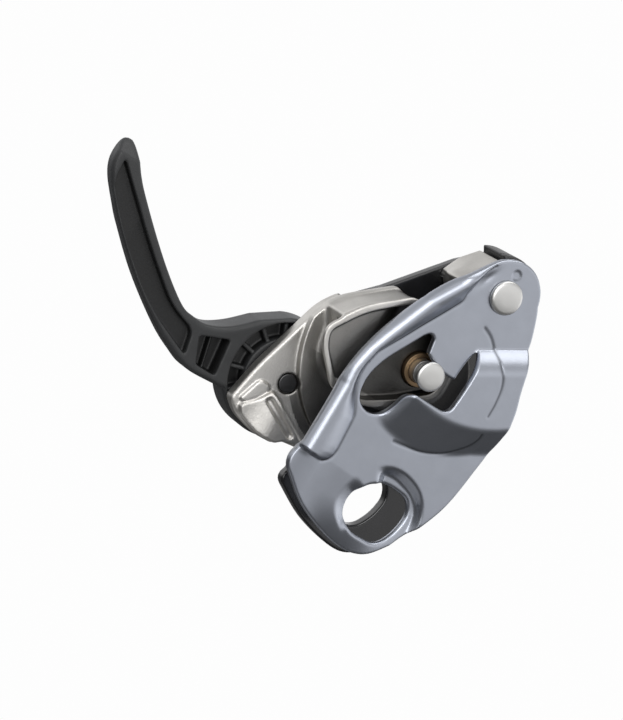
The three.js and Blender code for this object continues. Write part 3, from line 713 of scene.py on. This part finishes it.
# ---- lever ----------------------------------------------------------------------------------
LEVER = (spline([polar(LEVER_PIN, LEVER_HUB_RADIUS, 216), (-54, 7.8), (-60.6, 9.9), (-67.7, 13.7),
                 (-78.5, 21.4), (-87.8, 29.7), (-91.9, 34), (-95.7, 38.5), (-97.4, 42), (-97.6, 45.4),
                 (-96.9, 47.8), (-95.2, 48.6), (-93.2, 47.4), (-87.5, 40.2), (-74.7, 28.6),
                 (-64.6, 21.1), (-59.8, 19.6), (-55.4, 19.6), (-50.1, 21.8), (-44.3, 26.5)])
         + arc(LEVER_PIN, LEVER_HUB_RADIUS, 112, -144, 90))
GRIP = rounded([(-95.2, 44, 1), (-95, 38.2, 3), (-86, 28.4, 20), (-72, 17, 20), (-57.2, 10.6, 1),
                (-58.6, 16.7, 2), (-66.4, 19.4, 8), (-79, 29.2, 20)])
BAY = rounded([(-56.4, 16.4, 0.8), (-48.7, 19, 0.8), (-47.6, 9.6, 0.8), (-53.4, 9.9, 0.8)])
BAY_RIB = [(-52.4, 17.5), (-50.4, 9.5)]
# Depths of the pockets below the lever's front: the grip, the bay with its rib, and the round well.
GRIP_DEPTH, BAY_DEPTH, RIB_DEPTH, WELL_DEPTH = 2.2, 4.6, 2.6, 3.4
WELL_RADIUS, WELL_HALF_WIDTH = 12, 1.9
SPOKES, SPOKE_HALF_WIDTH, SPOKE_DEPTH = 14, 0.5, 0.9
SPRING_SEAT_RADIUS, SPRING_SEAT_HALF_WIDTH, SPRING_SEAT_DEPTH = 7, 1.4, 5.6
WASHER_SEAT_RADIUS, WASHER_SEAT_DEPTH, BUSH_SEAT_RADIUS = 5.4, 1.6, 3.35
# The front slopes back above this height, towards the tip.
TIP_START, TIP_SLOPE = 45.0, 0.9
# How far the cuts reach out in front of the lever.
PROUD = 3
grid = Grid((-98.6, 7.5, 0.2), (-15.2, 17.7, 49.8), 0.36)
flat = grid.outline(LEVER)
tip = TIP_SLOPE * np.maximum(0, grid.z - TIP_START) + 0.05 * np.maximum(0, -84 - grid.x)
front = LEVER_FRONT + tip
back = LEVER_BACK - HANDLE_THINNER * (1 - ease(-61, -49.5, grid.x))
depth = np.maximum(front - grid.y, grid.y - back)
lever = prism(flat, depth, 1.1)
above_front = LEVER_FRONT - PROUD
grip = prism(grid.outline(GRIP), np.maximum(front - PROUD - grid.y, grid.y - front - GRIP_DEPTH), 0.35)
bay = prism(grid.outline(BAY), between(grid.y, above_front, LEVER_FRONT + BAY_DEPTH), 0.4)
rib = prism(grid.line(BAY_RIB) - 0.4, between(grid.y, LEVER_FRONT + RIB_DEPTH, LEVER_FRONT + 7), 0.2)
bay = np.maximum(bay, -rib)
angle = np.arctan2(grid.z - LEVER_PIN[1], grid.x - LEVER_PIN[0])
radius = grid.disc(LEVER_PIN, 0)
from_spoke = np.abs((angle * SPOKES / (2 * math.pi)) % 1 - 0.5) * 2 * math.pi / SPOKES
spoke = from_spoke * radius - SPOKE_HALF_WIDTH
well = prism(np.abs(radius - WELL_RADIUS) - WELL_HALF_WIDTH,
             between(grid.y, above_front, LEVER_FRONT + WELL_DEPTH), 0.35)
well = np.maximum(well, -np.maximum(spoke, LEVER_FRONT + SPOKE_DEPTH - grid.y))
seat = np.maximum(np.abs(radius - SPRING_SEAT_RADIUS) - SPRING_SEAT_HALF_WIDTH,
                  grid.y - LEVER_FRONT - SPRING_SEAT_DEPTH)
back_seat = np.maximum(radius - WASHER_SEAT_RADIUS, LEVER_BACK - WASHER_SEAT_DEPTH - grid.y)
cuts = np.minimum(np.minimum(grip, bay), np.minimum(well, seat))
lever = soft_max(lever, -cuts, 0.3)
lever = np.maximum(lever, -np.minimum(back_seat, radius - BUSH_SEAT_RADIUS))


def lever_painted_shade_and_light(x, y, z):
    """Darker in the pockets, a painted shade, and paler down the outer sides, a painted highlight."""
    inside = line_distance(x, z, LEVER + LEVER[:1]) > 0.6
    depth = ease(LEVER_FRONT + 0.6, LEVER_FRONT + 2.2, y - TIP_SLOPE * np.maximum(0, z - TIP_START))
    # Painted shade in the pockets and a painted highlight on the outer sides.
    return 1 + np.where(inside, -0.75, 1.2) * depth


solid("lever_skin", grid, lever, nylon, "release_lever", ["lever"], shade=lever_painted_shade_and_light)

# ---- turned pieces --------------------------------------------------------------------------
SHAFT_END = 6.3
COUNTERSUNK_END = [(PIN_RADIUS, SHAFT_END, 0.1), (PIN_HEAD_RADIUS, FIXED_BACK, 0.1), (0, FIXED_BACK, 0)]
SWING_PIN = [(0, -11.55, 0), (2.2, -11.48, 1), (3.6, -11.3, 0.5), (4.25, -10.95, 0.35),
             (4.25, -10.2, 0.15), (PIN_RADIUS, -10.2, 0.1)] + COUNTERSUNK_END
AXLE_PIN = [(0, -11.4, 0), (2, -11.36, 1), (3.2, -11.22, 0.4), (3.7, -10.95, 0.3), (3.7, -10.3, 0.12),
            (2.1, -10.3, 0.1), (2.1, -7.6, 0.1), (PIN_RADIUS, -7.6, 0.1)] + COUNTERSUNK_END
ARM_PIN = [(0, 4.3, 0), (2.4, 4.3, 0.35), (2.4, 5.3, 0.1), (LEVER_PIN_RADIUS, 5.3, 0.1),
           (LEVER_PIN_RADIUS, 16.8, 0.3), (0, 16.8, 0)]
RIVET = [(0, -7.6, 0), (1, -7.6, 0.2), (1, 6.2, 0.1), (1.4, 7.5, 0.1), (0, 7.5, 0)]


def ring(inner, outer, front, back, inner_round, outer_round, back_round=None):
    """The profile of a bush or washer, from its radii, its ends in Y and its corner radii."""
    return [(inner, front, inner_round), (outer, front, outer_round),
            (outer, back, back_round or outer_round), (inner, back, inner_round)]


# Each turned piece's node, axis, profile, material, body and slot.
TURNED = [
    ("pivot_pin", PIVOT, SWING_PIN, pin_steel, "frame", "pin_steel"),
    ("cam_axle", AXLE, AXLE_PIN, pin_steel, "frame", "pin_steel"),
    ("shoe_rivet_upper", SHOE_RIVETS[0], RIVET, pin_steel, "frame", "pin_steel"),
    ("shoe_rivet_lower", SHOE_RIVETS[1], RIVET, pin_steel, "frame", "pin_steel"),
    ("spacer_rivet", CAP_RIVET, RIVET, pin_steel, "frame", "pin_steel"),
    ("pivot_bush", PIVOT, ring(3.2, 4.9, -6.9, 4.3, 0.15, 0.3), bronze, "frame", "bronze"),
    ("pivot_washer", PIVOT, ring(3.2, 4.7, -7.75, -7.15, 0.08, 0.12), spring_steel, "frame",
     "spring_steel"),
    ("cam_bush", AXLE, ring(3.18, 4.3, -5, 4.2, 0.15, 0.2), bronze, "rope_cam", "bronze"),
    ("lever_bush", LEVER_PIN, ring(2.08, 3.25, 8, 15.3, 0.1, 0.15), bronze, "release_lever", "bronze"),
    ("lever_pin", LEVER_PIN, ARM_PIN, black_steel, "rope_cam", "pin_steel"),
    ("lever_washer", LEVER_PIN, ring(2.1, 5.1, 15.6, 16.4, 0.1, 0.15, 0.3), pin_steel, "release_lever",
     "pin_steel"),
]
for name, centre, profile, material, body, slot in TURNED:
    turned(name + "_skin", centre, profile, material, body, [name])
for name in ("cam_spring", "lever_spring"):
    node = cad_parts[name]
    for material_slot in node.material_slots:
        material_slot.material = spring_steel

# ---- floor, light ---------------------------------------------------------------------------
CENTRE = Vector((-0.030, 0, 0.030))


def floor():
    """A pale disc well below the part, which hangs from its attachment hole."""
    count, radius, height = 64, 1.6, -3.0
    angles = [2 * math.pi * i / count for i in range(count)]
    rim = [(radius * math.cos(a), radius * math.sin(a), height) for a in angles]
    mesh = bpy.data.meshes.new("floor")
    mesh.from_pydata(rim, [], [tuple(range(count))])
    obj = bpy.data.objects.new("floor", mesh)
    bpy.context.scene.collection.objects.link(obj)
    material = bpy.data.materials.new("floor")
    material.use_nodes = True
    shader = material.node_tree.nodes["Principled BSDF"]
    shader.inputs["Base Color"].default_value = (0.62, 0.62, 0.62, 1)
    shader.inputs["Roughness"].default_value = 0.9
    mesh.materials.append(material)


def softbox(name, towards, distance, width, height, radiance):
    """A rectangular light in that direction from the part, facing it."""
    data = bpy.data.lights.new(name, "AREA")
    data.shape = "RECTANGLE"
    data.size, data.size_y = width, height
    data.energy = radiance * math.pi * width * height
    obj = bpy.data.objects.new(name, data)
    bpy.context.scene.collection.objects.link(obj)
    obj.location = CENTRE + Vector(towards).normalized() * distance
    obj.rotation_euler = (CENTRE - obj.location).to_track_quat("-Z", "Y").to_euler()


def studio():
    """A white backdrop, and the graded light of a studio: brightest just above eye level, dark below."""
    world = bpy.data.worlds.new("studio")
    world.use_nodes = True
    nodes, links = world.node_tree.nodes, world.node_tree.links
    split = nodes.new("ShaderNodeSeparateXYZ")
    links.new(nodes.new("ShaderNodeTexCoord").outputs["Generated"], split.inputs[0])
    spread = nodes.new("ShaderNodeMapRange")
    spread.inputs["From Min"].default_value = -1
    links.new(split.outputs["Z"], spread.inputs["Value"])
    shade = nodes.new("ShaderNodeValToRGB")
    # Light from straight below (0) to straight above (1).
    levels = [(0.0, 0.06), (0.34, 0.10), (0.43, 0.48), (0.49, 0.92), (0.66, 0.98), (0.80, 0.55),
              (1.0, 0.40)]
    while len(shade.color_ramp.elements) < len(levels):
        shade.color_ramp.elements.new(0.5)
    for element, (at, level) in zip(shade.color_ramp.elements, levels):
        element.position, element.color = at, (level, level, level * 1.01, 1)
    links.new(spread.outputs["Result"], shade.inputs["Fac"])
    links.new(shade.outputs["Color"], nodes["Background"].inputs["Color"])
    backdrop = nodes.new("ShaderNodeBackground")
    backdrop.inputs["Color"].default_value = (0.985, 0.985, 0.985, 1)
    seen = nodes.new("ShaderNodeMixShader")
    links.new(nodes.new("ShaderNodeLightPath").outputs["Is Camera Ray"], seen.inputs["Fac"])
    links.new(nodes["Background"].outputs[0], seen.inputs[1])
    links.new(backdrop.outputs[0], seen.inputs[2])
    links.new(seen.outputs[0], nodes["World Output"].inputs["Surface"])
    bpy.context.scene.world = world


floor()
# The studio's lights: a name, a direction from the part, a distance, a size and a brightness.
softbox("top_box", (-0.05, -0.2, 1), 0.8, 0.7, 0.5, 2.0)
softbox("left_box", (-0.30, -0.92, 0.20), 0.9, 0.40, 0.9, 2.6)
softbox("right_box", (0.95, -0.22, 0.20), 0.9, 0.22, 0.7, 0.6)
studio()
bpy.context.scene.view_settings.view_transform = "Standard"
